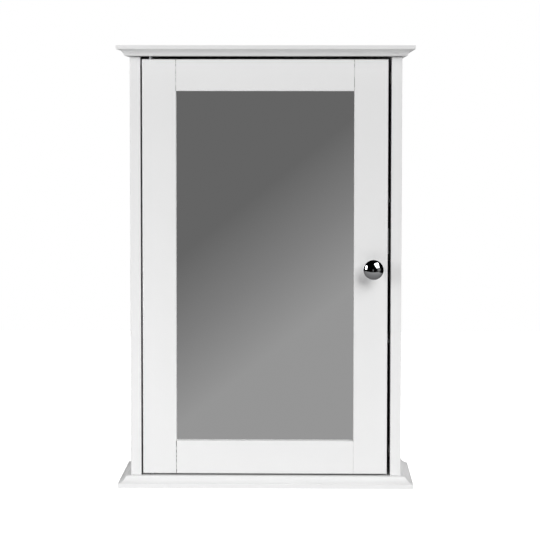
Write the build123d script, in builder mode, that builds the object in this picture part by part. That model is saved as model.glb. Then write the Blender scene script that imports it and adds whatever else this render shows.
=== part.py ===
from build123d import *
import os

# Wall cabinet of painted board with one framed mirror door, all sizes in millimetres.
# Seen from the front, X runs to the right, Y runs back to the wall and Z runs up.
# The origin is the centre of the base board's underside.

# Case boards and panels
case_width = 340.0
case_depth = 150.0
case_height = 507.0
top_board_thickness = 12.0
base_board_thickness = 13.0
board_overhang = 14.5
panel_thickness = 12.0
panel_ease = 0.8
open_joint_height = 1.1
open_joint_depth = 8.0

# Moulded edge of the top and base boards: a square lip, a hollow cove and a small toe
moulding_height = 7.5
lip_ledge = 1.5
lip_nose_radius = 0.8
cove_width = 6.9
cove_hollow = 1.15
toe_width = 2.3
toe_height = 1.6

# Back panel, its rebate and nails
back_thickness = 3.0
back_rebate = 6.0
nail_head_radius = 1.5
nail_head_height = 0.6
nail_radius = 0.7
nail_length = 15.0
nail_pitch = 75.0

# Hanging rail and the holes for the two wall screws
rail_thickness = 12.0
rail_height = 50.0
wall_hole_radius = 2.75
wall_hole_spacing = 200.0

# Shelves and their pegs
shelf_count = 2
shelf_thickness = 9.0
shelf_end_gap = 2.0
shelf_back_gap = 1.0
shelf_front_setback = 8.0
peg_radius = 2.5
peg_depth = 8.0
peg_collar_radius = 4.0
peg_collar_thickness = 1.5
peg_nose_length = 8.0
peg_front_inset = 15.0
peg_back_inset = 20.0
peg_hole_pitch = 32.0
peg_hole_extra_depth = 1.0

# Knock-down fittings that hold each panel end to its board
cam_radius = 6.0
cam_height = 9.5
cam_from_end = 24.0
cam_front_inset = 30.5
cam_back_inset = 32.0
cam_slot_width = 1.4
cam_slot_length = 7.0
cam_slot_depth = 1.5
cam_bolt_thread_radius = 2.5
cam_bolt_thread_length = 8.0
cam_bolt_collar_radius = 2.9
cam_bolt_collar_height = 1.0
cam_bolt_neck_radius = 1.6
cam_bolt_head_radius = 2.6
cam_bolt_head_height = 2.4
cover_radius = 6.8
cover_thickness = 0.9
fitting_clearance = 0.2

# Wooden dowels of the case and of the door frame
dowel_radius = 3.0
dowel_ease = 0.6
case_dowel_length = 25.0
case_dowel_in_face = 8.0
case_dowel_front_inset = 12.5
case_dowel_back_inset = 20.0
frame_dowel_length = 30.0
frame_dowel_first = 8.0
frame_dowel_spacing = 10.0
dowel_end_gap = 0.5
seat_clearance = 0.02

# Door frame, mirror and backing
door_thickness = 15.0
door_gap_left = 2.0
door_gap_right = 3.8
door_gap_top = 3.4
door_gap_bottom = 1.9
door_edge_radius = 1.5
door_back_ease = 0.8
stile_width = 38.6
top_rail_height = 36.1
bottom_rail_height = 38.2
joint_ease = 0.35
mirror_setback = 6.0
mirror_thickness = 3.0
mirror_overlap = 6.0
mirror_side_gap = 0.5
backing_thickness = 3.0
backing_overlap = 13.0
backing_screw_inset = 4.0
backing_screw_pitch = 105.0

# Door hinge: a pin at each end of the left stile, each in a bush sunk in its board
pin_radius = 2.5
pin_from_door_edge = 10.0
pin_from_door_front = 6.0
pin_in_stile = 25.0
pin_in_bush = 6.0
pin_end_gap = 0.1
pin_end_ease = 0.4
pin_running_clearance = 0.05
bush_wall = 1.5
bush_floor = 1.5

# Domed knob and its screw, measured out from the door's front face
knob_radius = 11.5
knob_dome_radius = 17.0
knob_edge_radius = 0.6
knob_rim_out = 15.0
knob_flare_out = 8.0
knob_neck_radius = 4.8
knob_foot_radius = 6.8
knob_foot_thickness = 1.5
knob_from_door_edge = 16.6
knob_below_middle = 1.1
knob_thread_depth = 11.0

# Magnetic catch on the right panel and its strike plate on the door
catch_above_middle = 30.0
catch_length = 46.0
catch_case_length = 28.0
catch_width = 13.0
catch_depth = 15.0
catch_ear_thickness = 3.0
catch_screw_spacing = 37.0
magnet_length = 20.0
magnet_thickness = 3.2
magnet_depth = 10.0
pole_length = 24.0
pole_thickness = 1.2
pole_depth = 12.0
pole_stand_out = 0.5
catch_air_gap = 0.3
strike_length = 30.0
strike_width = 9.0
strike_thickness = 1.2
strike_head_radius = 2.6

# Screws: radius and height of the head, radius and length of the shank
screw_cross_width = 0.9
screw_cross_depth = 0.9
backing_screw = {"head_radius": 2.6, "head_height": 1.6, "radius": 1.4, "length": 9.0}
catch_screw = {"head_radius": 2.7, "head_height": 1.8, "radius": 1.5, "length": 12.0}
knob_screw_size = {"head_radius": 4.0, "head_height": 2.6, "radius": 2.0, "length": 24.0}
knob_screw_clearance = 0.25
strike_screw_radius = 1.4
strike_screw_length = 9.0

# Places worked out from the sizes above
board_half_width = case_width / 2
wall_y = case_depth / 2
lip_front_y = -case_depth / 2
front_y = lip_front_y + board_overhang
panel_outer_x = board_half_width - board_overhang
panel_inner_x = panel_outer_x - panel_thickness
panel_middle_x = (panel_inner_x + panel_outer_x) / 2
panel_depth = wall_y - front_y
floor_z = base_board_thickness
ceiling_z = case_height - top_board_thickness
back_inner_y = wall_y - back_thickness
rail_front_y = back_inner_y - rail_thickness

door_left_x = -panel_inner_x + door_gap_left
door_right_x = panel_inner_x - door_gap_right
door_bottom_z = floor_z + door_gap_bottom
door_top_z = ceiling_z - door_gap_top
door_middle_z = (door_bottom_z + door_top_z) / 2
door_back_y = front_y + door_thickness
opening_left_x = door_left_x + stile_width
opening_right_x = door_right_x - stile_width
opening_bottom_z = door_bottom_z + bottom_rail_height
opening_top_z = door_top_z - top_rail_height
opening_width = opening_right_x - opening_left_x
opening_height = opening_top_z - opening_bottom_z
opening_middle_x = (opening_left_x + opening_right_x) / 2
opening_middle_z = (opening_bottom_z + opening_top_z) / 2
mirror_front_y = front_y + mirror_setback
mirror_back_y = mirror_front_y + mirror_thickness
backing_back_y = mirror_back_y + backing_thickness

hinge_x = door_left_x + pin_from_door_edge
hinge_y = front_y + pin_from_door_front
bush_radius = pin_radius + pin_running_clearance + bush_wall
bush_depth = pin_in_bush + pin_end_gap + bush_floor

knob_x = door_right_x - knob_from_door_edge
knob_z = door_middle_z - knob_below_middle

catch_z = door_middle_z + catch_above_middle
strike_back_y = door_back_y + strike_thickness
pole_front_y = strike_back_y + catch_air_gap
catch_front_y = pole_front_y + pole_stand_out
catch_middle_x = panel_inner_x - catch_width / 2
catch_screw_y = catch_front_y + catch_depth / 2
catch_screw_z = (catch_z - catch_screw_spacing / 2, catch_z + catch_screw_spacing / 2)

# Places that repeat on both sides and at both ends
sides = (("left_side_panel", -1), ("right_side_panel", 1))
ends = ((floor_z, 1), (ceiling_z, -1))
cam_ys = (front_y + cam_front_inset, wall_y - cam_back_inset)
corner_dowel_ys = (front_y + case_dowel_front_inset, wall_y - case_dowel_back_inset)
rail_dowel_z = ceiling_z - rail_height / 2
rail_dowel_y = rail_front_y + rail_thickness / 2
shelf_room = (ceiling_z - floor_z - shelf_count * shelf_thickness) / (shelf_count + 1)
shelf_undersides = [
    floor_z + shelf_room + level * (shelf_room + shelf_thickness) for level in range(shelf_count)
]
shelf_front_y = door_back_y + shelf_front_setback
shelf_back_y = back_inner_y - shelf_back_gap
peg_ys = (shelf_front_y + peg_front_inset, shelf_back_y - peg_back_inset)
peg_zs = [underside - peg_radius for underside in shelf_undersides]
spare_peg_steps = (-1, 0, 1)

cove_start = (lip_ledge, moulding_height)
cove_end = (lip_ledge + cove_width, toe_height)
flat_start = (cove_end[0] + toe_width, 0)


def evenly_spaced(low, high, pitch):
    """Places from low to high, both included, about one pitch apart."""
    steps = max(1, round((high - low) / pitch))
    return [low + (high - low) * step / steps for step in range(steps + 1)]


nail_inset = back_rebate / 2
nail_xs = evenly_spaced(-panel_inner_x + nail_pitch / 2, panel_inner_x - nail_pitch / 2, nail_pitch)
nail_zs = evenly_spaced(floor_z + nail_inset, ceiling_z - nail_inset, nail_pitch)
nail_places = [(x, z) for x in nail_xs for z in (floor_z - nail_inset, ceiling_z + nail_inset)]
nail_places += [(s * (panel_inner_x + nail_inset), z) for s in (-1, 1) for z in nail_zs]

backing_half_width = opening_width / 2 + backing_overlap
backing_half_height = opening_height / 2 + backing_overlap
screw_half_width = backing_half_width - backing_screw_inset
screw_half_height = backing_half_height - backing_screw_inset
backing_screw_places = [
    (opening_middle_x + s * screw_half_width, opening_middle_z + z)
    for s in (-1, 1)
    for z in evenly_spaced(
        -screw_half_height + backing_screw_pitch / 4,
        screw_half_height - backing_screw_pitch / 4,
        backing_screw_pitch,
    )
]
backing_screw_places += [(opening_middle_x, opening_middle_z + s * screw_half_height) for s in (-1, 1)]

rail_names = {
    "top_rail": (opening_top_z, door_top_z),
    "bottom_rail": (door_bottom_z, opening_bottom_z),
}
frame_dowel_zs = [door_top_z - frame_dowel_first - step * frame_dowel_spacing for step in range(2)]
frame_dowel_zs += [door_bottom_z + frame_dowel_first + step * frame_dowel_spacing for step in range(2)]
frame_dowel_y = front_y + door_thickness / 2

os.makedirs("parts", exist_ok=True)


def drill(mouths, outward, radius, depth):
    """Cuts round holes into the part being built; outward points out of each mouth."""
    with Locations(*[Plane(origin=mouth, z_dir=outward) for mouth in mouths]):
        Hole(radius, depth)


def block(low, high, mode=Mode.ADD):
    """Adds or cuts a square block between two opposite corners."""
    centre = tuple((a + b) / 2 for a, b in zip(low, high))
    with Locations(centre):
        Box(high[0] - low[0], high[1] - low[1], high[2] - low[2], mode=mode)


def rod(start, direction, radius, length):
    """Adds a round rod that starts at a point and runs along a direction."""
    with Locations(Plane(origin=start, z_dir=direction)):
        Cylinder(radius, length, align=(Align.CENTER, Align.CENTER, Align.MIN))


def screw(seat, outward, size):
    """Adds a cross-head screw; its head bears on seat and its shank runs the other way."""
    inward = Vector(outward) * -1
    top = Vector(seat) + Vector(outward) * size["head_height"]
    cross_length = size["head_radius"] * 1.2
    rod(seat, outward, size["head_radius"], size["head_height"])
    rod(seat, inward, size["radius"], size["length"])
    with Locations(Plane(origin=top, z_dir=inward)):
        depth_up = (Align.CENTER, Align.CENTER, Align.MIN)
        Box(cross_length, screw_cross_width, screw_cross_depth, align=depth_up, mode=Mode.SUBTRACT)
        Box(screw_cross_width, cross_length, screw_cross_depth, align=depth_up, mode=Mode.SUBTRACT)


def moulded_edge(edge_u, inward, flat_z, toward_flat, thickness):
    """Draws one moulded edge, from the lip's outer corner to the start of the flat face."""

    def at(inset, depth):
        return (edge_u + inward * inset, flat_z - toward_flat * depth)

    chord = (cove_end[0] - cove_start[0], cove_end[1] - cove_start[1])
    chord_length = (chord[0] ** 2 + chord[1] ** 2) ** 0.5
    hollow_inset = (cove_start[0] + cove_end[0]) / 2 - cove_hollow * chord[1] / chord_length
    hollow_depth = (cove_start[1] + cove_end[1]) / 2 + cove_hollow * chord[0] / chord_length
    Line(at(0, thickness), at(0, moulding_height))
    Line(at(0, moulding_height), at(*cove_start))
    cove = ThreePointArc(at(*cove_start), at(hollow_inset, hollow_depth), at(*cove_end))
    TangentArc(cove @ 1, at(*flat_start), tangent=cove % 1)


def lip_corners(section, edge_us):
    """The two corners of each lip in a section."""
    return [v for v in section.vertices() for u in edge_us if abs(v.X - u) < lip_ledge / 2]


def moulded_board(flat_z, toward_flat, thickness):
    """A board moulded on its front and both ends, square at the wall."""
    lip_z = flat_z - toward_flat * thickness
    with BuildPart() as board:
        with BuildSketch(Plane.XZ.offset(-wall_y)) as across:
            with BuildLine():
                moulded_edge(-board_half_width, 1, flat_z, toward_flat, thickness)
                moulded_edge(board_half_width, -1, flat_z, toward_flat, thickness)
                Line((-board_half_width, lip_z), (board_half_width, lip_z))
                Line((-board_half_width + flat_start[0], flat_z), (board_half_width - flat_start[0], flat_z))
            make_face()
            fillet(lip_corners(across, (-board_half_width, board_half_width)), lip_nose_radius)
        extrude(amount=case_depth)
        with BuildSketch(Plane.YZ.offset(-board_half_width)) as along:
            with BuildLine():
                moulded_edge(lip_front_y, 1, flat_z, toward_flat, thickness)
                Line((lip_front_y, lip_z), (wall_y, lip_z))
                Line((wall_y, lip_z), (wall_y, flat_z))
                Line((wall_y, flat_z), (lip_front_y + flat_start[0], flat_z))
            make_face()
            fillet(lip_corners(along, (lip_front_y,)), lip_nose_radius)
        extrude(amount=case_width, mode=Mode.INTERSECT)
    return board.part


def board_fixings(flat_z, outward):
    """Cuts the holes and the back rebate that both moulded boards need in their flat face."""
    face = (0, 0, outward)
    panel_xs = (-panel_middle_x, panel_middle_x)
    dowel_mouths = [(x, y, flat_z) for x in panel_xs for y in corner_dowel_ys]
    bolt_mouths = [(x, y, flat_z) for x in panel_xs for y in cam_ys]
    drill(dowel_mouths, face, dowel_radius + seat_clearance, case_dowel_in_face + dowel_end_gap)
    drill(bolt_mouths, face, cam_bolt_thread_radius + seat_clearance, cam_bolt_thread_length + dowel_end_gap)
    drill([(hinge_x, hinge_y, flat_z)], face, bush_radius + seat_clearance, bush_depth)
    rebate_z = flat_z - outward * back_rebate
    rebate_x = panel_inner_x + back_rebate
    low = (-rebate_x, back_inner_y, min(flat_z, rebate_z))
    high = (rebate_x, wall_y, max(flat_z, rebate_z))
    block(low, high, mode=Mode.SUBTRACT)
    rim_nails = [(x, back_inner_y, flat_z - outward * nail_inset) for x in nail_xs]
    drill(rim_nails, (0, 1, 0), nail_radius + seat_clearance, nail_length)


def mirror_seat():
    """Cuts the stepped rebate behind the opening that the mirror and its backing lie in."""
    for overlap, step_y in ((mirror_overlap, mirror_front_y), (backing_overlap, mirror_back_y)):
        reach_x = opening_width / 2 + overlap + mirror_side_gap
        reach_z = opening_height / 2 + overlap + mirror_side_gap
        low = (opening_middle_x - reach_x, step_y, opening_middle_z - reach_z)
        high = (opening_middle_x + reach_x, door_back_y, opening_middle_z + reach_z)
        block(low, high, mode=Mode.SUBTRACT)
    screw_mouths = [(x, mirror_back_y, z) for x, z in backing_screw_places]
    screw_depth = backing_screw["length"] - backing_thickness + dowel_end_gap
    drill(screw_mouths, (0, 1, 0), backing_screw["radius"] + seat_clearance, screw_depth)


def ease_stile(stile, seam):
    """Rounds a stile's three outer edges, front and back, and breaks the sharp front edge at its seam.
    seam is 0 for a seam on the left of the stile and -1 for one on the right."""
    faces = stile.faces().sort_by(Axis.Y)
    for face, radius in ((faces[0], door_edge_radius), (faces[-1], door_back_ease)):
        seam_edge = face.edges().sort_by(Axis.X)[seam]
        fillet([edge for edge in face.edges() if edge != seam_edge], radius)
    front_edges = stile.faces().sort_by(Axis.Y)[0].edges()
    chamfer(front_edges.sort_by(Axis.X)[seam], joint_ease)


# Top board, the crown
with BuildPart() as top_board:
    add(moulded_board(ceiling_z, -1, top_board_thickness))
    board_fixings(ceiling_z, -1)
top_board.part.label = "top_board"
export_step(top_board.part, "parts/top_board.step")

# Base board, the same moulding the other way up on a thicker lip
with BuildPart() as base_board:
    add(moulded_board(floor_z, 1, base_board_thickness))
    board_fixings(floor_z, 1)
base_board.part.label = "base_board"
export_step(base_board.part, "parts/base_board.step")

# Side panels between the boards, cut back a little at the top front so that an open joint shows
for name, side in sides:
    inner_x = side * panel_inner_x
    with BuildPart() as side_panel:
        with BuildSketch(Plane.XY.offset(floor_z)):
            with Locations((side * panel_middle_x, (front_y + wall_y) / 2)):
                Rectangle(panel_thickness, panel_depth)
        extrude(amount=ceiling_z - floor_z)
        front_edges = side_panel.edges().group_by(Axis.Y)[0]
        fillet(front_edges, panel_ease)
        outer_x = inner_x + side * panel_thickness
        joint_low = (min(inner_x, outer_x), front_y, ceiling_z - open_joint_height)
        joint_high = (max(inner_x, outer_x), front_y + open_joint_depth, ceiling_z)
        block(joint_low, joint_high, mode=Mode.SUBTRACT)
        rebate_low = (min(inner_x, inner_x + side * back_rebate), back_inner_y, floor_z)
        rebate_high = (max(inner_x, inner_x + side * back_rebate), wall_y, ceiling_z)
        block(rebate_low, rebate_high, mode=Mode.SUBTRACT)
        rim_nails = [(inner_x + side * nail_inset, back_inner_y, z) for z in nail_zs]
        drill(rim_nails, (0, 1, 0), nail_radius + seat_clearance, nail_length)
        for end_z, up in ends:
            cam_mouths = [(inner_x, y, end_z + up * cam_from_end) for y in cam_ys]
            bolt_mouths = [(side * panel_middle_x, y, end_z) for y in cam_ys]
            dowel_mouths = [(side * panel_middle_x, y, end_z) for y in corner_dowel_ys]
            dowel_depth = case_dowel_length - case_dowel_in_face + dowel_end_gap
            drill(cam_mouths, (-side, 0, 0), cam_radius + fitting_clearance, cam_height + fitting_clearance)
            drill(bolt_mouths, (0, 0, -up), cam_bolt_collar_radius + fitting_clearance, cam_from_end)
            drill(dowel_mouths, (0, 0, -up), dowel_radius + seat_clearance, dowel_depth)
        rail_mouth = [(inner_x, rail_dowel_y, rail_dowel_z)]
        drill(rail_mouth, (-side, 0, 0), dowel_radius + seat_clearance, case_dowel_in_face + dowel_end_gap)
        peg_mouths = [
            (inner_x, y, z + step * peg_hole_pitch)
            for y in peg_ys
            for z in peg_zs
            for step in spare_peg_steps
        ]
        drill(peg_mouths, (-side, 0, 0), peg_radius + seat_clearance, peg_depth + peg_hole_extra_depth)
        if side > 0:
            catch_mouths = [(inner_x, catch_screw_y, z) for z in catch_screw_z]
            catch_hole_depth = catch_screw["length"] - catch_ear_thickness + dowel_end_gap
            drill(catch_mouths, (-side, 0, 0), catch_screw["radius"] + seat_clearance, catch_hole_depth)
    side_panel.part.label = name
    export_step(side_panel.part, f"parts/{name}.step")

# Back panel, flush in its rebate
with BuildPart() as back_panel:
    reach_x = panel_inner_x + back_rebate
    block((-reach_x, back_inner_y, floor_z - back_rebate), (reach_x, wall_y, ceiling_z + back_rebate))
    nail_mouths = [(x, wall_y, z) for x, z in nail_places]
    drill(nail_mouths, (0, 1, 0), nail_radius + seat_clearance, back_thickness)
    drill(nail_mouths, (0, 1, 0), nail_head_radius + seat_clearance, nail_head_height)
    wall_mouths = [(s * wall_hole_spacing / 2, wall_y, rail_dowel_z) for s in (-1, 1)]
    drill(wall_mouths, (0, 1, 0), wall_hole_radius, back_thickness)
back_panel.part.label = "back_panel"
export_step(back_panel.part, "parts/back_panel.step")

# Nails of the back panel, heads flush with the wall face
with BuildPart() as back_panel_nails:
    for x, z in nail_places:
        rod((x, wall_y, z), (0, -1, 0), nail_head_radius, nail_head_height)
        rod((x, wall_y, z), (0, -1, 0), nail_radius, nail_length)
back_panel_nails.part.label = "back_panel_nails"
export_step(back_panel_nails.part, "parts/back_panel_nails.step")

# Hanging rail that carries the cabinet on its wall screws
with BuildPart() as hanging_rail:
    block((-panel_inner_x, rail_front_y, ceiling_z - rail_height), (panel_inner_x, back_inner_y, ceiling_z))
    bottom_edge = hanging_rail.edges().filter_by(Axis.X).group_by(Axis.Z)[0].sort_by(Axis.Y)[0]
    fillet(bottom_edge, panel_ease)
    wall_mouths = [(s * wall_hole_spacing / 2, rail_front_y, rail_dowel_z) for s in (-1, 1)]
    drill(wall_mouths, (0, -1, 0), wall_hole_radius, rail_thickness)
    for side in (-1, 1):
        end_mouth = [(side * panel_inner_x, rail_dowel_y, rail_dowel_z)]
        end_depth = case_dowel_length - case_dowel_in_face + dowel_end_gap
        drill(end_mouth, (side, 0, 0), dowel_radius + seat_clearance, end_depth)
hanging_rail.part.label = "hanging_rail"
export_step(hanging_rail.part, "parts/hanging_rail.step")

# Shelves
for name, underside in zip(("lower_shelf", "upper_shelf"), shelf_undersides):
    reach_x = panel_inner_x - shelf_end_gap
    with BuildPart() as shelf:
        block((-reach_x, shelf_front_y, underside), (reach_x, shelf_back_y, underside + shelf_thickness))
        fillet(shelf.edges().filter_by(Axis.X).group_by(Axis.Y)[0], panel_ease)
    shelf.part.label = name
    export_step(shelf.part, f"parts/{name}.step")

# Pegs: a shank in the panel, a collar on its face and a nose under the shelf
with BuildPart() as shelf_pegs:
    for side in (-1, 1):
        for y in peg_ys:
            for z in peg_zs:
                face = Vector(side * panel_inner_x, y, z)
                rod(face, (side, 0, 0), peg_radius, peg_depth)
                rod(face, (-side, 0, 0), peg_collar_radius, peg_collar_thickness)
                rod(face, (-side, 0, 0), peg_radius, peg_collar_thickness + peg_nose_length)
shelf_pegs.part.label = "shelf_pegs"
export_step(shelf_pegs.part, "parts/shelf_pegs.step")

# Cam bolts: thread in the board, collar, thin neck and a head inside the cam
with BuildPart() as cam_bolts:
    for side in (-1, 1):
        for end_z, up in ends:
            for y in cam_ys:
                foot = Vector(side * panel_middle_x, y, end_z)
                head = foot + Vector(0, 0, up * (cam_from_end - cam_bolt_head_height / 2))
                rod(foot, (0, 0, -up), cam_bolt_thread_radius, cam_bolt_thread_length)
                rod(foot, (0, 0, up), cam_bolt_collar_radius, cam_bolt_collar_height)
                rod(foot, (0, 0, up), cam_bolt_neck_radius, cam_from_end)
                rod(head, (0, 0, up), cam_bolt_head_radius, cam_bolt_head_height)
cam_bolts.part.label = "cam_bolts"
export_step(cam_bolts.part, "parts/cam_bolts.step")

# Cam locks: round cams in the panels that hook the bolt heads, with a crossed driver slot
with BuildPart() as cam_locks:
    for side in (-1, 1):
        for end_z, up in ends:
            for y in cam_ys:
                middle = Vector(side * panel_inner_x, y, end_z + up * cam_from_end)
                rod(middle, (side, 0, 0), cam_radius, cam_height)
    for side in (-1, 1):
        for end_z, up in ends:
            for y in cam_ys:
                middle = Vector(side * panel_inner_x, y, end_z + up * cam_from_end)
                bolt_centre = Vector(side * panel_middle_x, y, end_z + up * cam_from_end)
                rim = bolt_centre - Vector(0, 0, up * cam_radius)
                drill([rim], (0, 0, -up), cam_bolt_neck_radius + fitting_clearance, cam_radius)
                pocket = bolt_centre - Vector(0, 0, up * (cam_bolt_head_height / 2 + fitting_clearance))
                pocket_depth = cam_bolt_head_height + 2 * fitting_clearance
                drill([pocket], (0, 0, -up), cam_bolt_head_radius + fitting_clearance, pocket_depth)
                with Locations(middle):
                    Box(2 * cam_slot_depth, cam_slot_length, cam_slot_width, mode=Mode.SUBTRACT)
                    Box(2 * cam_slot_depth, cam_slot_width, cam_slot_length, mode=Mode.SUBTRACT)
cam_locks.part.label = "cam_locks"
export_step(cam_locks.part, "parts/cam_locks.step")

# Cam covers: thin caps pressed into the driver slots
with BuildPart() as cam_covers:
    for side in (-1, 1):
        for end_z, up in ends:
            for y in cam_ys:
                middle = Vector(side * panel_inner_x, y, end_z + up * cam_from_end)
                rod(middle, (-side, 0, 0), cover_radius, cover_thickness)
    outer_faces = cam_covers.faces().filter_by(Axis.X).group_by(Axis.X)
    chamfer(outer_faces[1].edges() + outer_faces[-2].edges(), cover_thickness / 3)
    for side in (-1, 1):
        for end_z, up in ends:
            for y in cam_ys:
                middle = Vector(side * panel_inner_x, y, end_z + up * cam_from_end)
                plug_centre = middle + Vector(side * (cam_slot_depth - fitting_clearance) / 2, 0, 0)
                with Locations(plug_centre):
                    Box(
                        cam_slot_depth - fitting_clearance,
                        cam_slot_length - 2 * fitting_clearance,
                        cam_slot_width - fitting_clearance,
                    )
cam_covers.part.label = "cam_covers"
export_step(cam_covers.part, "parts/cam_covers.step")

# Dowels of the case: two at each panel end and one at each end of the hanging rail
with BuildPart() as case_dowels:
    for side in (-1, 1):
        for end_z, up in ends:
            for y in corner_dowel_ys:
                start = (side * panel_middle_x, y, end_z - up * case_dowel_in_face)
                rod(start, (0, 0, up), dowel_radius, case_dowel_length)
        start = (side * (panel_inner_x + case_dowel_in_face), rail_dowel_y, rail_dowel_z)
        rod(start, (-side, 0, 0), dowel_radius, case_dowel_length)
    chamfer(case_dowels.edges().filter_by(GeomType.CIRCLE), dowel_ease)
case_dowels.part.label = "case_dowels"
export_step(case_dowels.part, "parts/case_dowels.step")

# Cup bushes sunk in the boards; the lower one carries the door on its floor
for name, (flat_z, up) in zip(("bottom_hinge_bush", "top_hinge_bush"), ends):
    with BuildPart() as bush:
        rod((hinge_x, hinge_y, flat_z), (0, 0, -up), bush_radius, bush_depth)
        bore_depth = pin_in_bush + pin_end_gap
        drill([(hinge_x, hinge_y, flat_z)], (0, 0, up), pin_radius + pin_running_clearance, bore_depth)
    bush.part.label = name
    export_step(bush.part, f"parts/{name}.step")

# Hinge pins, pressed into the ends of the left stile
pin_starts = {
    "bottom_hinge_pin": (floor_z - pin_in_bush, door_bottom_z + pin_in_stile),
    "top_hinge_pin": (door_top_z - pin_in_stile, ceiling_z + pin_in_bush),
}
for name, (low_z, high_z) in pin_starts.items():
    with BuildPart() as hinge_pin:
        rod((hinge_x, hinge_y, low_z), (0, 0, 1), pin_radius, high_z - low_z)
        chamfer(hinge_pin.edges().filter_by(GeomType.CIRCLE), pin_end_ease)
    hinge_pin.part.label = name
    export_step(hinge_pin.part, f"parts/{name}.step")

# Catch case: a hollow block that holds the magnet, with a screw ear at each end
with BuildPart() as catch_body:
    with Locations((catch_middle_x, catch_screw_y, catch_z)):
        Box(catch_width, catch_depth, catch_case_length)
    fillet(catch_body.edges().filter_by(Axis.Y), panel_ease)
    ear_low = (panel_inner_x - catch_ear_thickness, catch_front_y, catch_z - catch_length / 2)
    ear_high = (panel_inner_x, catch_front_y + catch_depth, catch_z + catch_length / 2)
    block(ear_low, ear_high)
    room_half_width = magnet_thickness / 2 + pole_thickness + fitting_clearance
    room_half_length = pole_length / 2 + fitting_clearance
    room_back_y = catch_front_y + pole_depth + fitting_clearance
    room_low = (catch_middle_x - room_half_width, catch_front_y, catch_z - room_half_length)
    room_high = (catch_middle_x + room_half_width, room_back_y, catch_z + room_half_length)
    block(room_low, room_high, mode=Mode.SUBTRACT)
    ear_mouths = [(panel_inner_x - catch_ear_thickness, catch_screw_y, z) for z in catch_screw_z]
    drill(ear_mouths, (-1, 0, 0), catch_screw["radius"] + fitting_clearance, catch_ear_thickness)
catch_body.part.label = "catch_body"
export_step(catch_body.part, "parts/catch_body.step")

# Magnet between its pole plates
with BuildPart() as catch_magnet:
    magnet_low = (catch_middle_x - magnet_thickness / 2, catch_front_y, catch_z - magnet_length / 2)
    magnet_high = (
        catch_middle_x + magnet_thickness / 2,
        catch_front_y + magnet_depth,
        catch_z + magnet_length / 2,
    )
    block(magnet_low, magnet_high)
catch_magnet.part.label = "catch_magnet"
export_step(catch_magnet.part, "parts/catch_magnet.step")

# Steel pole plates that stand out towards the strike plate
with BuildPart() as catch_pole_plates:
    for side in (-1, 1):
        with Locations(
            (
                catch_middle_x + side * (magnet_thickness + pole_thickness) / 2,
                pole_front_y + (pole_depth + pole_stand_out) / 2,
                catch_z,
            )
        ):
            Box(pole_thickness, pole_depth + pole_stand_out, pole_length)
catch_pole_plates.part.label = "catch_pole_plates"
export_step(catch_pole_plates.part, "parts/catch_pole_plates.step")

# Screws of the catch
with BuildPart() as catch_screws:
    for z in catch_screw_z:
        screw((panel_inner_x - catch_ear_thickness, catch_screw_y, z), (-1, 0, 0), catch_screw)
catch_screws.part.label = "catch_screws"
export_step(catch_screws.part, "parts/catch_screws.step")

# Left stile, full height, with the two hinge pins in its ends
with BuildPart() as left_stile:
    block((door_left_x, front_y, door_bottom_z), (opening_left_x, door_back_y, door_top_z))
    ease_stile(left_stile, seam=-1)
    mirror_seat()
    drill([(hinge_x, hinge_y, door_bottom_z)], (0, 0, -1), pin_radius + seat_clearance, pin_in_stile)
    drill([(hinge_x, hinge_y, door_top_z)], (0, 0, 1), pin_radius + seat_clearance, pin_in_stile)
    dowel_mouths = [(opening_left_x, frame_dowel_y, z) for z in frame_dowel_zs]
    drill(dowel_mouths, (1, 0, 0), dowel_radius + seat_clearance, frame_dowel_length / 2 + dowel_end_gap)
left_stile.part.label = "left_stile"
export_step(left_stile.part, "parts/left_stile.step")

# Right stile, full height, drilled for the knob and the strike plate
with BuildPart() as right_stile:
    block((opening_right_x, front_y, door_bottom_z), (door_right_x, door_back_y, door_top_z))
    ease_stile(right_stile, seam=0)
    mirror_seat()
    knob_hole_radius = knob_screw_size["radius"] + knob_screw_clearance
    drill([(knob_x, front_y, knob_z)], (0, -1, 0), knob_hole_radius, door_thickness)
    strike_mouth = [(catch_middle_x, door_back_y, catch_z)]
    strike_hole_depth = strike_screw_length - strike_thickness + dowel_end_gap
    drill(strike_mouth, (0, 1, 0), strike_screw_radius + seat_clearance, strike_hole_depth)
    dowel_mouths = [(opening_right_x, frame_dowel_y, z) for z in frame_dowel_zs]
    drill(dowel_mouths, (-1, 0, 0), dowel_radius + seat_clearance, frame_dowel_length / 2 + dowel_end_gap)
right_stile.part.label = "right_stile"
export_step(right_stile.part, "parts/right_stile.step")

# Rails that butt between the stiles
for name, (low_z, high_z) in rail_names.items():
    with BuildPart() as door_rail:
        block((opening_left_x, front_y, low_z), (opening_right_x, door_back_y, high_z))
        outer, inner = (-1, 0) if name == "top_rail" else (0, -1)
        front_edges = door_rail.faces().sort_by(Axis.Y)[0].edges()
        back_edges = door_rail.faces().sort_by(Axis.Y)[-1].edges()
        fillet(front_edges.sort_by(Axis.Z)[outer], door_edge_radius)
        fillet(back_edges.sort_by(Axis.Z)[outer], door_back_ease)
        sharp_edges = door_rail.faces().sort_by(Axis.Y)[0].edges()
        chamfer(sharp_edges.filter_by(Axis.Z) + [sharp_edges.sort_by(Axis.Z)[inner]], joint_ease)
        mirror_seat()
        for side, end_x in ((-1, opening_left_x), (1, opening_right_x)):
            dowel_mouths = [(end_x, frame_dowel_y, z) for z in frame_dowel_zs if low_z < z < high_z]
            dowel_depth = frame_dowel_length / 2 + dowel_end_gap
            drill(dowel_mouths, (side, 0, 0), dowel_radius + seat_clearance, dowel_depth)
    door_rail.part.label = name
    export_step(door_rail.part, f"parts/{name}.step")

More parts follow.
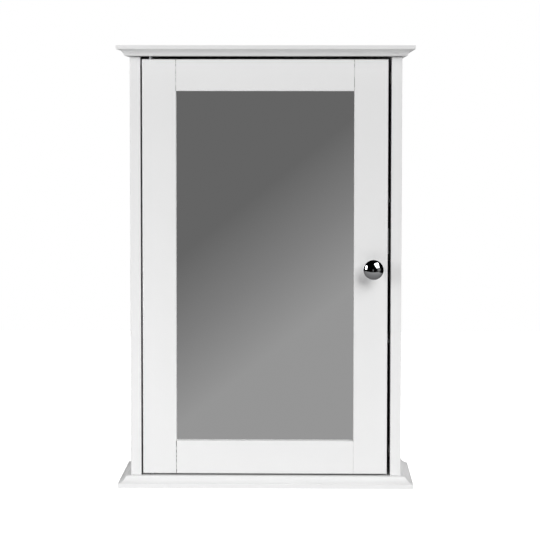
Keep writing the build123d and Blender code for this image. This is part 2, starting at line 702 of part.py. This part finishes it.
# Dowels across the four joints of the door frame
with BuildPart() as frame_dowels:
    for seam_x in (opening_left_x, opening_right_x):
        for z in frame_dowel_zs:
            start = (seam_x - frame_dowel_length / 2, frame_dowel_y, z)
            rod(start, (1, 0, 0), dowel_radius, frame_dowel_length)
    chamfer(frame_dowels.edges().filter_by(GeomType.CIRCLE), dowel_ease)
frame_dowels.part.label = "frame_dowels"
export_step(frame_dowels.part, "parts/frame_dowels.step")

# Mirror glass, laid in from behind
with BuildPart() as mirror_glass:
    with Locations((opening_middle_x, (mirror_front_y + mirror_back_y) / 2, opening_middle_z)):
        Box(opening_width + 2 * mirror_overlap, mirror_thickness, opening_height + 2 * mirror_overlap)
mirror_glass.part.label = "mirror_glass"
export_step(mirror_glass.part, "parts/mirror_glass.step")

# Backing board over the mirror
with BuildPart() as mirror_backing:
    with Locations((opening_middle_x, (mirror_back_y + backing_back_y) / 2, opening_middle_z)):
        Box(2 * backing_half_width, backing_thickness, 2 * backing_half_height)
    screw_mouths = [(x, backing_back_y, z) for x, z in backing_screw_places]
    drill(screw_mouths, (0, 1, 0), backing_screw["radius"] + fitting_clearance, backing_thickness)
mirror_backing.part.label = "mirror_backing"
export_step(mirror_backing.part, "parts/mirror_backing.step")

# Screws through the rim of the backing board
with BuildPart() as backing_screws:
    for x, z in backing_screw_places:
        screw((x, backing_back_y, z), (0, 1, 0), backing_screw)
backing_screws.part.label = "backing_screws"
export_step(backing_screws.part, "parts/backing_screws.step")

# Domed knob turned in one piece with its neck and foot
edge_centre_radius = knob_radius - knob_edge_radius
arc_centres_apart = knob_dome_radius - knob_edge_radius
dome_centre_out = knob_rim_out - (arc_centres_apart**2 - edge_centre_radius**2) ** 0.5
dome_start_radius = knob_dome_radius * edge_centre_radius / arc_centres_apart
dome_start_out = dome_centre_out + (knob_dome_radius**2 - dome_start_radius**2) ** 0.5
apex_out = dome_centre_out + knob_dome_radius
with BuildPart() as knob:
    with BuildSketch(Plane.XY.offset(knob_z)):
        with BuildLine():
            Polyline(
                (knob_x, front_y),
                (knob_x + knob_foot_radius, front_y),
                (knob_x + knob_foot_radius, front_y - knob_foot_thickness),
                (knob_x + knob_neck_radius, front_y - knob_foot_thickness),
                (knob_x + knob_neck_radius, front_y - knob_flare_out),
            )
            under_rim = (knob_x + edge_centre_radius, front_y - knob_rim_out + knob_edge_radius)
            TangentArc((knob_x + knob_neck_radius, front_y - knob_flare_out), under_rim, tangent=(0, -1))
            dome_start = (knob_x + dome_start_radius, front_y - dome_start_out)
            ThreePointArc(under_rim, (knob_x + knob_radius, front_y - knob_rim_out), dome_start)
            TangentArc((knob_x, front_y - apex_out), dome_start, tangent=(1, 0))
            Line((knob_x, front_y - apex_out), (knob_x, front_y))
        make_face()
    revolve(axis=Axis((knob_x, front_y, knob_z), (0, 1, 0)))
    thread_radius = knob_screw_size["radius"] + seat_clearance
    drill([(knob_x, front_y, knob_z)], (0, 1, 0), thread_radius, knob_thread_depth)
knob.part.label = "knob"
export_step(knob.part, "parts/knob.step")

# Knob screw, head on the back of the stile
with BuildPart() as knob_screw:
    screw((knob_x, door_back_y, knob_z), (0, 1, 0), knob_screw_size)
knob_screw.part.label = "knob_screw"
export_step(knob_screw.part, "parts/knob_screw.step")

# Strike plate on the back of the right stile, countersunk for its screw
with BuildPart() as strike_plate:
    with Locations((catch_middle_x, door_back_y + strike_thickness / 2, catch_z)):
        Box(strike_width, strike_thickness, strike_length)
    fillet(strike_plate.edges().filter_by(Axis.Y), panel_ease)
    with Locations(Plane(origin=(catch_middle_x, door_back_y, catch_z), z_dir=(0, 1, 0))):
        Cone(
            strike_screw_radius + seat_clearance,
            strike_head_radius + seat_clearance,
            strike_thickness,
            align=(Align.CENTER, Align.CENTER, Align.MIN),
            mode=Mode.SUBTRACT,
        )
strike_plate.part.label = "strike_plate"
export_step(strike_plate.part, "parts/strike_plate.step")

# Flat-head screw of the strike plate
with BuildPart() as strike_screw:
    with Locations(Plane(origin=(catch_middle_x, door_back_y, catch_z), z_dir=(0, 1, 0))):
        Cone(
            strike_screw_radius,
            strike_head_radius,
            strike_thickness,
            align=(Align.CENTER, Align.CENTER, Align.MIN),
        )
    shank_length = strike_screw_length - strike_thickness
    rod((catch_middle_x, door_back_y, catch_z), (0, -1, 0), strike_screw_radius, shank_length)
strike_screw.part.label = "strike_screw"
export_step(strike_screw.part, "parts/strike_screw.step")
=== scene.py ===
from math import asin, cos, pi, radians, sin

import bpy
from mathutils import Matrix, Vector


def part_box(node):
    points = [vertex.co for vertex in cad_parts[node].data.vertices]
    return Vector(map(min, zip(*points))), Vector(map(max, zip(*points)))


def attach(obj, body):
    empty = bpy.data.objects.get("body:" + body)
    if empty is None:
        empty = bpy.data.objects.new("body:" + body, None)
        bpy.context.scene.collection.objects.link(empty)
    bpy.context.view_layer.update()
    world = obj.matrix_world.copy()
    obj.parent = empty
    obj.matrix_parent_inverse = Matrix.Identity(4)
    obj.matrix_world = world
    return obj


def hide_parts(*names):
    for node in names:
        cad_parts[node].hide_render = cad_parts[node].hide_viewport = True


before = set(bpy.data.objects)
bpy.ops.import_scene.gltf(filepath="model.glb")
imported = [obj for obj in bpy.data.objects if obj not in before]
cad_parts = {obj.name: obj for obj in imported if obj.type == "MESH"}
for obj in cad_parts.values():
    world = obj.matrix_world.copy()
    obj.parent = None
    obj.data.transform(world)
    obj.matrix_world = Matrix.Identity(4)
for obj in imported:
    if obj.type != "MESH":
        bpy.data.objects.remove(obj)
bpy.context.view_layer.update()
scene = bpy.context.scene
scene.view_settings.view_transform = "Standard"


# Camera: a long lens from a little above the middle, almost square to the door
PICTURE_SIDE = 540
SENSOR_MM = 36.0
LENS_MM = 133.24
CAMERA_PLACE = (0.046101, -2.345707, 0.426851)
CAMERA_PAN = radians(0.887)
CAMERA_TILT = radians(86.388)
CAMERA_ROLL = radians(0.054)

camera_data = bpy.data.cameras.new("camera")
camera_data.sensor_width = SENSOR_MM
camera_data.lens = LENS_MM
camera_data.shift_x = -0.00944
camera_data.shift_y = -0.05123
camera_data.clip_end = 100.0
camera = bpy.data.objects.new("camera", camera_data)
scene.collection.objects.link(camera)
camera.matrix_world = (
    Matrix.Translation(CAMERA_PLACE)
    @ Matrix.Rotation(CAMERA_PAN, 4, "Z")
    @ Matrix.Rotation(CAMERA_TILT, 4, "X")
    @ Matrix.Rotation(CAMERA_ROLL, 4, "Z")
)
scene.camera = camera


def linear(hex_colour, strength=1.0):
    """Turns a hex screen colour into the linear colour that shaders take."""
    levels = [int(hex_colour[i : i + 2], 16) / 255 for i in (1, 3, 5)]
    light = [v / 12.92 if v <= 0.04045 else ((v + 0.055) / 1.055) ** 2.4 for v in levels]
    return [strength * v for v in light] + [1.0]


def add(tree, kind, inputs=None, **settings):
    """Adds a shader node, sets its options, then fills or links its inputs."""
    node = tree.nodes.new("ShaderNode" + kind)
    for name, value in settings.items():
        setattr(node, name, value)
    for socket, value in (inputs or {}).items():
        if isinstance(value, bpy.types.NodeSocket):
            tree.links.new(value, node.inputs[socket])
        else:
            node.inputs[socket].default_value = value
    return node


def empty_material(name):
    """A new material with nothing in its node tree."""
    material = bpy.data.materials.new(name)
    material.use_nodes = True
    material.node_tree.nodes.clear()
    return material, material.node_tree


def looked_at(tree):
    """One for rays that come straight from the camera, off metal or through glass, else nought."""
    rays = add(tree, "LightPath")
    seen = rays.outputs["Is Camera Ray"]
    for kind in ("Is Glossy Ray", "Is Transmission Ray"):
        seen = add(tree, "Math", {0: seen, 1: rays.outputs[kind]}, operation="MAXIMUM").outputs[0]
    return seen


# World: white where a ray looks past the object, a dim even fill for everything else
WHITE = (1, 1, 1, 1)
AMBIENT = 0.04

world = bpy.data.worlds.new("world")
scene.world = world
world.use_nodes = True
world.node_tree.nodes.clear()
fill = add(world.node_tree, "Background", {"Color": WHITE, "Strength": AMBIENT})
backdrop = add(world.node_tree, "Background", {"Color": WHITE, "Strength": 1.0})
surround = add(world.node_tree, "MixShader", {
    0: looked_at(world.node_tree), 1: fill.outputs[0], 2: backdrop.outputs[0]})
add(world.node_tree, "OutputWorld", {"Surface": surround.outputs[0]})


# Lamps
def softbox(name, place, target, size, power, hidden=False):
    """An oblong lamp that faces a target; a hidden one lights things but isn't seen in mirror or metal."""
    data = bpy.data.lights.new(name, "AREA")
    data.shape = "RECTANGLE"
    data.size, data.size_y = size
    data.energy = power
    lamp = bpy.data.objects.new(name, data)
    scene.collection.objects.link(lamp)
    lamp.location = place
    lamp.rotation_euler = (Vector(target) - Vector(place)).to_track_quat("-Z", "Y").to_euler()
    if hidden:
        lamp.visible_camera = False
        lamp.visible_glossy = False


DOOR_MIDDLE = (0.0, -0.06, 0.25)
CASE_MIDDLE = (0.0, 0.05, 0.25)

# The key faces down in front, so that the crown, which is nearer to it, isn't lit more than the base
softbox("key_softbox", (1.277, -1.857, 1.367), (-0.12, -0.26, -2.6), (1.17, 1.85), 47.0)
softbox("left_softbox", (-0.984, -0.727, 0.55), DOOR_MIDDLE, (0.3, 0.6), 6.0)
softbox("back_left_softbox", (-1.3, 0.95, 0.9), CASE_MIDDLE, (0.8, 0.8), 9.0)
softbox("back_right_softbox", (1.3, 0.95, 0.9), CASE_MIDDLE, (0.8, 0.8), 9.0)

# Light that comes back up at the door from the ground in front
softbox("low_fill", (-0.18, -0.75, -0.02), (0.0, -0.06, 0.12), (1.3, 0.2), 0.5, hidden=True)
softbox("low_strip", (0.0, -0.42, 0.03), (0.0, -0.06, 0.55), (1.1, 0.06), 0.42, hidden=True)


# Stage: the solids come in selected, so everything is deselected before any sheet is made
bpy.ops.object.select_all(action="DESELECT")


def sheet(name, low, high, material, upright=False):
    """A flat stage sheet between two corners, lying level or standing across the view."""
    middle = (Vector(low) + Vector(high)) / 2
    turned = (radians(90), 0, 0) if upright else (0, 0, 0)
    bpy.ops.mesh.primitive_plane_add(size=1, location=middle, rotation=turned)
    piece = bpy.context.object
    piece.name = name
    span = Vector(high) - Vector(low)
    piece.scale = (span.x, span.z if upright else span.y, 1)
    bpy.ops.object.transform_apply(location=True, rotation=True, scale=True)
    piece.data.materials.append(material)
    return piece


# The floor is white paper; where it is looked at, it is lifted so that only the shadow stays grey
FLOOR_LOW = (-1.3, -0.37, 0.0)
FLOOR_HIGH = (1.3, 1.6, 0.0)
FLOOR_LIFT = 0.88
FIBRE_CLUMP_MM = 1.1111

floor_paper, tree = empty_material("floor_paper")
place = add(tree, "TexCoord").outputs["Object"]
fibres = add(tree, "TexNoise", {"Vector": place, "Scale": 1000 / FIBRE_CLUMP_MM, "Detail": 2.0})
paper = add(tree, "Mix", {
    0: fibres.outputs[0], 6: linear("#e4e4e4"), 7: linear("#e8e8e8")}, data_type="RGBA")
matt = add(tree, "BsdfDiffuse", {"Color": paper.outputs[2]})
lift = add(tree, "Math", {0: looked_at(tree), 1: FLOOR_LIFT}, operation="MULTIPLY")
glow = add(tree, "Emission", {"Color": WHITE, "Strength": lift.outputs[0]})
lifted = add(tree, "AddShader", {0: matt.outputs[0], 1: glow.outputs[0]})
add(tree, "OutputMaterial", {"Surface": lifted.outputs[0]})
floor_paper.cycles.emission_sampling = "NONE"
floor = sheet("floor", FLOOR_LOW, FLOOR_HIGH, floor_paper)
floor.visible_glossy = False


def only_in_reflections(piece):
    """Leaves a stage piece to be seen in the mirror and the metals alone."""
    piece.visible_camera = False
    piece.visible_diffuse = False
    piece.visible_transmission = False
    piece.visible_shadow = False


def glowing(name, colour_of):
    """A material that only gives off light, in the colour that colour_of works out for each place."""
    material, tree = empty_material(name)
    place = add(tree, "TexCoord").outputs["Object"]
    glow = add(tree, "Emission", {"Color": colour_of(tree, place), "Strength": 1.0})
    add(tree, "OutputMaterial", {"Surface": glow.outputs[0]})
    material.cycles.emission_sampling = "NONE"
    return material


# The room that polished pieces reflect is a glowing sphere, no lamp, seen only in reflections: a painted
# reflection, near black, with a pale patch of painted reflected wall light beside the key softbox.
# The patch fades out where the cosine of the angle from its middle has dropped to the edge value
ROOM_RADIUS = 8.0
ROOM_MIDDLE = (0, 0, 0.25)
TOWARD_PATCH = (0.70, -0.71, -0.02)
PATCH_EDGE = 0.955


def room_tone(tree, place):
    """Near black, turning pale towards the middle of the patch of painted reflected light."""
    facing = add(tree, "VectorMath", {0: place}, operation="NORMALIZE")
    nearness = add(tree, "VectorMath", {0: facing.outputs[0], 1: TOWARD_PATCH}, operation="DOT_PRODUCT")
    share = add(tree, "MapRange", {
        "Value": nearness.outputs["Value"], "From Min": PATCH_EDGE, "From Max": 1.0})
    tone = add(tree, "Mix", {
        0: share.outputs[0], 6: linear("#050505"), 7: linear("#a0a0a0")}, data_type="RGBA")
    return tone.outputs[2]


bpy.ops.mesh.primitive_uv_sphere_add(radius=ROOM_RADIUS, segments=64, ring_count=32, location=ROOM_MIDDLE)
room = bpy.context.object
room.name = "room"
room.data.materials.append(glowing("room_paint", room_tone))
only_in_reflections(room)

# The grey table in front, which the lower half of the knob shows, is a glowing sheet seen only in
# reflections: a painted reflection with painted shade near the cabinet and painted light towards viewer and
# right
TABLE_LOW = (-2.2, -1.42, -0.25)
TABLE_HIGH = (1.25, 0.2, -0.25)
SHADE_BACK_Y, SHADE_FRONT_Y = -0.2, -1.42
SHADE_LEFT_X, SHADE_RIGHT_X = -1.5, 1.2


def table_tone(tree, place):
    """Grey, with painted shade nearest the cabinet, paler towards the front edge, and palest in painted
    light at its right end.
    """
    axes = add(tree, "SeparateXYZ", {"Vector": place})
    near = add(tree, "MapRange", {
        "Value": axes.outputs["Y"], "From Min": SHADE_BACK_Y, "From Max": SHADE_FRONT_Y})
    right = add(tree, "MapRange", {
        "Value": axes.outputs["X"], "From Min": SHADE_LEFT_X, "From Max": SHADE_RIGHT_X})
    corner = add(tree, "Math", {0: near.outputs[0], 1: right.outputs[0]}, operation="MULTIPLY")
    tone = add(tree, "Mix", {
        0: near.outputs[0], 6: linear("#808080"), 7: linear("#a8a8a8")}, data_type="RGBA")
    lit = add(tree, "Mix", {
        0: corner.outputs[0], 6: tone.outputs[2], 7: linear("#c4c4c4")}, data_type="RGBA")
    return lit.outputs[2]


only_in_reflections(sheet("table", TABLE_LOW, TABLE_HIGH, glowing("table_top", table_tone)))

# The card that the mirror looks at is a glowing sheet, no lamp, seen only in reflections: a painted
# reflection, grey, lighter towards the lower right.
# Its tones are what the mirror should show, raised by the light that the silver takes
CARD_Y = -7.0
CARD_TONES = ("#646464", "#717171", "#7d7d7d", "#8a8a8a", "#969696")
SILVER_LOSS = 1 / 0.9
mirror_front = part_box("mirror_glass")[0].y


def seen_in_mirror(column, row):
    """Where the line of sight through a picture point meets the card after the mirror turns it back."""
    side = ((column / PICTURE_SIDE - 0.5) + camera_data.shift_x) * SENSOR_MM / LENS_MM
    up = ((0.5 - row / PICTURE_SIDE) + camera_data.shift_y) * SENSOR_MM / LENS_MM
    eye = camera.matrix_world.translation
    sight = camera.matrix_world.to_3x3() @ Vector((side, up, -1))
    glass = eye + sight * ((mirror_front - eye.y) / sight.y)
    back = Vector((sight.x, -sight.y, sight.z))
    return glass + back * ((CARD_Y - mirror_front) / back.y)


dark_end = seen_in_mirror(250, 200)
light_end = seen_in_mirror(333, 303.7)
toward_light = light_end - dark_end


def card_tone(tree, place):
    """Grey that runs from the dark end to the light end of the card."""
    from_dark = add(tree, "VectorMath", {0: place, 1: dark_end}, operation="SUBTRACT")
    along = toward_light / toward_light.length_squared
    share = add(tree, "VectorMath", {0: from_dark.outputs[0], 1: along}, operation="DOT_PRODUCT")
    ramp = add(tree, "ValToRGB", {"Fac": share.outputs["Value"]})
    stops = ramp.color_ramp.elements
    stops[0].color = linear(CARD_TONES[0], SILVER_LOSS)
    stops[1].color = linear(CARD_TONES[-1], SILVER_LOSS)
    last = len(CARD_TONES) - 1
    for step in range(1, last):
        stops.new(step / last).color = linear(CARD_TONES[step], SILVER_LOSS)
    return ramp.outputs[0]


upper_left = seen_in_mirror(160, 70)
lower_right = seen_in_mirror(370, 460)
card_low = (upper_left.x, CARD_Y, lower_right.z)
card_high = (lower_right.x, CARD_Y, upper_left.z)
card_paint = glowing("card_paint", card_tone)
only_in_reflections(sheet("mirror_card", card_low, card_high, card_paint, upright=True))


# Finishes
GRAIN_LOW, GRAIN_HIGH = 0.3, 0.7
DULL_SPREAD = 0.15


def finish(name, dark, light, roughness, metallic=0.0, tone_mm=60.0, grain_mm=2.5, depth_mm=0.01,
           stretch=(1, 1, 1)):
    """A finish with uneven tone, and a fine grain that moves both its roughness and its surface."""
    material, tree = empty_material(name)
    place = add(tree, "TexCoord").outputs["Object"]
    drawn = add(tree, "Mapping", {"Vector": place, "Scale": stretch}).outputs[0]
    tone = add(tree, "TexNoise", {"Vector": drawn, "Scale": 1000 / tone_mm, "Detail": 4.0})
    grain = add(tree, "TexNoise", {"Vector": drawn, "Scale": 1000 / grain_mm, "Detail": 3.0})
    colour = add(tree, "Mix", {0: tone.outputs[0], 6: linear(dark), 7: linear(light)}, data_type="RGBA")
    dull = add(tree, "MapRange", {
        "Value": grain.outputs[0], "From Min": GRAIN_LOW, "From Max": GRAIN_HIGH,
        "To Min": roughness * (1 - DULL_SPREAD), "To Max": roughness * (1 + DULL_SPREAD)})
    bump = add(tree, "Bump", {"Height": grain.outputs[0], "Strength": 1.0, "Distance": depth_mm / 1000})
    shader = add(tree, "BsdfPrincipled", {
        "Base Color": colour.outputs[2], "Metallic": metallic, "Roughness": dull.outputs[0],
        "Normal": bump.outputs[0]})
    add(tree, "OutputMaterial", {"Surface": shader.outputs[0]})
    return material, tree, shader


# How far behind a solid's front plane a point still counts as on its front face, in metres
FRONT_SKIN = 0.0002


def front_and_rest(tree, place, front_y, on_front, on_rest):
    """Shows one shader on a solid's front face and another on its back and edges."""
    axes = add(tree, "SeparateXYZ", {"Vector": place})
    past = add(tree, "Math", {0: axes.outputs["Y"], 1: front_y + FRONT_SKIN}, operation="GREATER_THAN")
    faces = add(tree, "MixShader", {0: past.outputs[0], 1: on_front.outputs[0], 2: on_rest.outputs[0]})
    output = next(node for node in tree.nodes if node.type == "OUTPUT_MATERIAL")
    tree.links.new(faces.outputs[0], output.inputs["Surface"])


finishes = {}

# Satin acrylic paint sprayed on fibreboard: an even white with a faint orange peel and a soft sheen.
# Along the joints of the door frame a broken hairline is painted near-black: painted shade of the open
# joints, darker at some than at others
CRACK_SHADE = {"left_top": 0.55, "right_top": 0.65, "left_bottom": 1.0, "right_bottom": 0.12}
CRACK_WIDTH = 0.0007
CRACK_FACE_DEPTH = 0.0008
CRACK_BREAK_MM = 3.84615
BREAK_LOW, BREAK_HIGH = 0.42, 0.58
FAINTEST_BREAK = 0.45


def joint_crack_shade(tree):
    """How dark the painted shade along the joints is at each place on the door's front, from 0 to 1."""
    place = add(tree, "TexCoord").outputs["Object"]
    axes = add(tree, "SeparateXYZ", {"Vector": place})
    breaks = add(tree, "TexNoise", {"Vector": place, "Scale": 1000 / CRACK_BREAK_MM, "Detail": 2.0})
    broken = add(tree, "MapRange", {
        "Value": breaks.outputs[0], "From Min": BREAK_LOW, "From Max": BREAK_HIGH,
        "To Min": FAINTEST_BREAK, "To Max": 1.0})
    face_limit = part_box("top_rail")[0].y + CRACK_FACE_DEPTH
    front_face = add(tree, "Math", {0: axes.outputs["Y"], 1: face_limit}, operation="LESS_THAN")
    along_joints = 0.0
    # Each joint's number is how dark its painted shade is
    for name, depth in CRACK_SHADE.items():
        side, end = name.split("_")
        rail_low, rail_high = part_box(end + "_rail")
        joint_x = rail_low.x if side == "left" else rail_high.x
        near = add(tree, "Math", {0: axes.outputs["X"], 1: joint_x, 2: CRACK_WIDTH / 2}, operation="COMPARE")
        above = add(tree, "Math", {0: axes.outputs["Z"], 1: rail_low.z}, operation="GREATER_THAN")
        below = add(tree, "Math", {0: axes.outputs["Z"], 1: rail_high.z}, operation="LESS_THAN")
        within = add(tree, "Math", {0: above.outputs[0], 1: below.outputs[0]}, operation="MULTIPLY")
        here = add(tree, "Math", {0: near.outputs[0], 1: within.outputs[0]}, operation="MULTIPLY")
        along_joints = add(tree, "Math", {0: here.outputs[0], 1: depth, 2: along_joints},
                           operation="MULTIPLY_ADD").outputs[0]
    in_front = add(tree, "Math", {0: along_joints, 1: front_face.outputs[0]}, operation="MULTIPLY")
    shown = add(tree, "Math", {0: in_front.outputs[0], 1: broken.outputs[0]}, operation="MULTIPLY")
    return shown.outputs[0]


painted, tree, paint = finish("satin_paint", "#ececec", "#f0f0f0", 0.42, tone_mm=90, grain_mm=2.6,
                              depth_mm=0.012)
whole_colour = paint.inputs["Base Color"].links[0].from_socket
# Near-black painted shade mixed into the paint along the door's joints
crack_shaded = add(tree, "Mix", {0: joint_crack_shade(tree), 6: whole_colour, 7: linear("#262422")}, data_type="RGBA")
tree.links.new(crack_shaded.outputs[2], paint.inputs["Base Color"])
finishes["painted_board"] = painted

# Melamine facing pressed on chipboard: a slightly cooler white with a fine pearl texture
finishes["shelf_board"] = finish("melamine", "#e8e9ea", "#edeeef", 0.5, tone_mm=120, grain_mm=0.7,
                                 depth_mm=0.02)[0]

# Turned beech: pale brown, with grain drawn out along the dowel
finishes["beech"] = finish("beech", "#b98f5f", "#d4ae7c", 0.6, tone_mm=4, grain_mm=1.0, depth_mm=0.05,
                           stretch=(0.15, 1, 0.6))[0]

# Dark chrome over polished zinc: almost a mirror, with the faint haze of handling
finishes["polished_chrome"] = finish("polished_chrome", "#c2c3c5", "#cacacc", 0.05, metallic=1.0, tone_mm=8,
                                     grain_mm=1.5, depth_mm=0.0004)[0]

# Drawn steel rod, a little oily: darker than plate, with marks round the pin, drawn coarser than they are
finishes["bright_steel"] = finish("bright_steel", "#8b8c8e", "#9d9ea0", 0.38, metallic=1.0, tone_mm=3,
                                  grain_mm=0.4, depth_mm=0.004, stretch=(0.2, 0.2, 3))[0]

# Bright zinc plate on steel: cool grey with a mottle from the bath, drawn coarser than it is
finishes["plated_steel"] = finish("plated_steel", "#b4b7b9", "#cdd0d1", 0.3, metallic=1.0, tone_mm=2,
                                  grain_mm=0.5, depth_mm=0.006)[0]

# Die-cast zinc: dull grey with a slightly pitted skin
finishes["zinc_alloy"] = finish("die_cast_zinc", "#939597", "#a9abad", 0.45, metallic=1.0, tone_mm=3,
                                grain_mm=0.6, depth_mm=0.03)[0]

# Moulded acetal of the catch: black, with a low sheen and a spark texture, drawn coarser than it is
finishes["black_plastic"] = finish("black_acetal", "#141414", "#1a1a1a", 0.4, tone_mm=10, grain_mm=0.5,
                                   depth_mm=0.01)[0]

# Moulded acetal of the bushes and of the caps over the cams: off-white, with the same texture
finishes["white_plastic"] = finish("white_acetal", "#e6e6e1", "#ecece8", 0.38, tone_mm=10, grain_mm=0.5,
                                   depth_mm=0.01)[0]

# Sintered ferrite: near-black ceramic whose ground face has grit, drawn coarser than it is
finishes["ferrite"] = finish("ferrite", "#1b1b1d", "#2b2b2d", 0.55, tone_mm=2, grain_mm=0.3,
                             depth_mm=0.03)[0]

# Spacing and depth of the press screen's mark, and the run of one wave at a scale of 1, in metres
SCREEN_MM = 1.1991
SCREEN_DEPTH = 0.00012
WAVE_RUN = 2 * pi / 20


def bare_hardboard(name):
    """Pressed wood fibre: speckled brown, with the mark of the press screen on its rough back."""
    material, tree, shader = finish(name, "#5f4228", "#86613d", 0.8, tone_mm=5, grain_mm=0.8, depth_mm=0.06)
    place = add(tree, "TexCoord").outputs["Object"]
    scale = WAVE_RUN * 1000 / SCREEN_MM
    across = add(tree, "TexWave", {"Vector": place, "Scale": scale}, bands_direction="X")
    upward = add(tree, "TexWave", {"Vector": place, "Scale": scale}, bands_direction="Z")
    weave = add(tree, "Math", {0: across.outputs["Fac"], 1: upward.outputs["Fac"]}, operation="MULTIPLY")
    screen = add(tree, "Bump", {
        "Height": weave.outputs[0], "Strength": 1.0, "Distance": SCREEN_DEPTH,
        "Normal": shader.inputs["Normal"].links[0].from_socket})
    tree.links.new(screen.outputs[0], shader.inputs["Normal"])
    return material, tree, shader, place


finishes["brown_hardboard"] = bare_hardboard("bare_hardboard")[0]

# Lacquered hardboard: warm white with a slight ripple towards the shelves, bare on the wall side and edges
LACQUER_TONE_MM = 83.333
RIPPLE_MM = 2.2222
RIPPLE_DEPTH = 0.00002

lacquered, tree, fibre, place = bare_hardboard("lacquered_hardboard")
uneven = add(tree, "TexNoise", {"Vector": place, "Scale": 1000 / LACQUER_TONE_MM, "Detail": 3.0})
warm_white = add(tree, "Mix", {
    0: uneven.outputs[0], 6: linear("#e3e3e1"), 7: linear("#eaeae8")}, data_type="RGBA")
ripple = add(tree, "TexNoise", {"Vector": place, "Scale": 1000 / RIPPLE_MM, "Detail": 2.0})
ripple_bump = add(tree, "Bump", {"Height": ripple.outputs[0], "Strength": 1.0, "Distance": RIPPLE_DEPTH})
lacquer = add(tree, "BsdfPrincipled", {
    "Base Color": warm_white.outputs[2], "Roughness": 0.4, "Normal": ripple_bump.outputs[0]})
front_and_rest(tree, place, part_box("back_panel")[0].y, lacquer, fibre)
finishes["white_hardboard"] = lacquered

# Silvered float glass: a clean mirror in front, grey protective paint on its back and edges
HAZE_MM = 111.11

mirror, tree, back_paint = finish("silvered_glass", "#77797a", "#858788", 0.55, tone_mm=30, grain_mm=1.5,
                                  depth_mm=0.03)
place = add(tree, "TexCoord").outputs["Object"]
haze = add(tree, "TexNoise", {"Vector": place, "Scale": 1000 / HAZE_MM, "Detail": 3.0})
silver_tone = add(tree, "Mix", {
    0: haze.outputs[0], 6: linear("#f2f2f2"), 7: linear("#f4f4f4")}, data_type="RGBA")
silver = add(tree, "BsdfPrincipled", {
    "Base Color": silver_tone.outputs[2], "Metallic": 1.0, "Roughness": 0.015})
front_and_rest(tree, place, mirror_front, silver, back_paint)
finishes["mirror_glass"] = mirror


# Knob turned smooth: foot, neck, flare, rounded rim and shallow dome, all within the solid's own box.
# Radii, and distances out from the door's front face, in metres
FOOT_RADIUS, FOOT_OUT = 0.0068, 0.0015
NECK_RADIUS, NECK_OUT = 0.0048, 0.008
RIM_RADIUS, RIM_OUT = 0.0115, 0.015
EDGE_RADIUS = 0.0006
DOME_RADIUS = 0.017
KNOB_SIDES = 128
FLARE_STEPS, EDGE_STEPS, DOME_STEPS = 10, 8, 20

edge_centre = RIM_RADIUS - EDGE_RADIUS
dome_centre = RIM_OUT - ((DOME_RADIUS - EDGE_RADIUS) ** 2 - edge_centre**2) ** 0.5
dome_lean = asin(edge_centre / (DOME_RADIUS - EDGE_RADIUS))


def knob_profile():
    """Radius and distance out of each ring, from the foot's front edge to the last one below the top."""
    rings = [(FOOT_RADIUS, FOOT_OUT), (NECK_RADIUS, FOOT_OUT), (NECK_RADIUS, NECK_OUT)]
    flare_rise = edge_centre - NECK_RADIUS
    flare_run = RIM_OUT - EDGE_RADIUS - NECK_OUT
    flare = (flare_rise**2 + flare_run**2) / (2 * flare_rise)
    flare_end = asin(flare_run / flare)
    for step in range(1, FLARE_STEPS + 1):
        bend = flare_end * step / FLARE_STEPS
        rings.append((NECK_RADIUS + flare * (1 - cos(bend)), NECK_OUT + flare * sin(bend)))
    for step in range(1, EDGE_STEPS + 1):
        bend = radians(-90) + (radians(180) - dome_lean) * step / EDGE_STEPS
        rings.append((edge_centre + EDGE_RADIUS * cos(bend), RIM_OUT + EDGE_RADIUS * sin(bend)))
    for step in range(1, DOME_STEPS):
        bend = dome_lean * (1 - step / DOME_STEPS)
        rings.append((DOME_RADIUS * sin(bend), dome_centre + DOME_RADIUS * cos(bend)))
    return rings


knob_low, knob_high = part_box("knob")
foot_middle = Vector(((knob_low.x + knob_high.x) / 2, knob_high.y, (knob_low.z + knob_high.z) / 2))
bpy.ops.object.select_all(action="DESELECT")
bpy.ops.mesh.primitive_circle_add(vertices=KNOB_SIDES, radius=FOOT_RADIUS, fill_type="NGON",
                                  rotation=(radians(90), 0, 0), location=foot_middle)
knob = bpy.context.object
knob.name = "turned_knob"
bpy.ops.object.transform_apply(location=True, rotation=True, scale=True)
bpy.ops.object.mode_set(mode="EDIT")
bpy.ops.mesh.select_all(action="SELECT")
radius, out = FOOT_RADIUS, 0.0
for next_radius, next_out in knob_profile():
    bpy.ops.mesh.extrude_region_move(TRANSFORM_OT_translate={"value": (0, out - next_out, 0)})
    ratio = next_radius / radius
    ring_middle = foot_middle - Vector((0, next_out, 0))
    bpy.ops.transform.resize(value=(ratio, 1, ratio), center_override=ring_middle)
    radius, out = next_radius, next_out
bpy.ops.mesh.extrude_region_move(TRANSFORM_OT_translate={"value": (0, out - dome_centre - DOME_RADIUS, 0)})
bpy.ops.mesh.merge(type="CENTER")
bpy.ops.mesh.select_all(action="SELECT")
bpy.ops.mesh.normals_make_consistent(inside=False)
bpy.ops.object.mode_set(mode="OBJECT")
bpy.ops.object.shade_smooth_by_angle(angle=radians(35))
knob.data.materials.append(finishes["polished_chrome"])
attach(knob, "door")
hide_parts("knob")

# Every solid takes the finish that its slot is named for
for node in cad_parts.values():
    for slot in node.material_slots:
        slot.material = finishes[next(key for key in finishes if slot.material.name.startswith(key))]
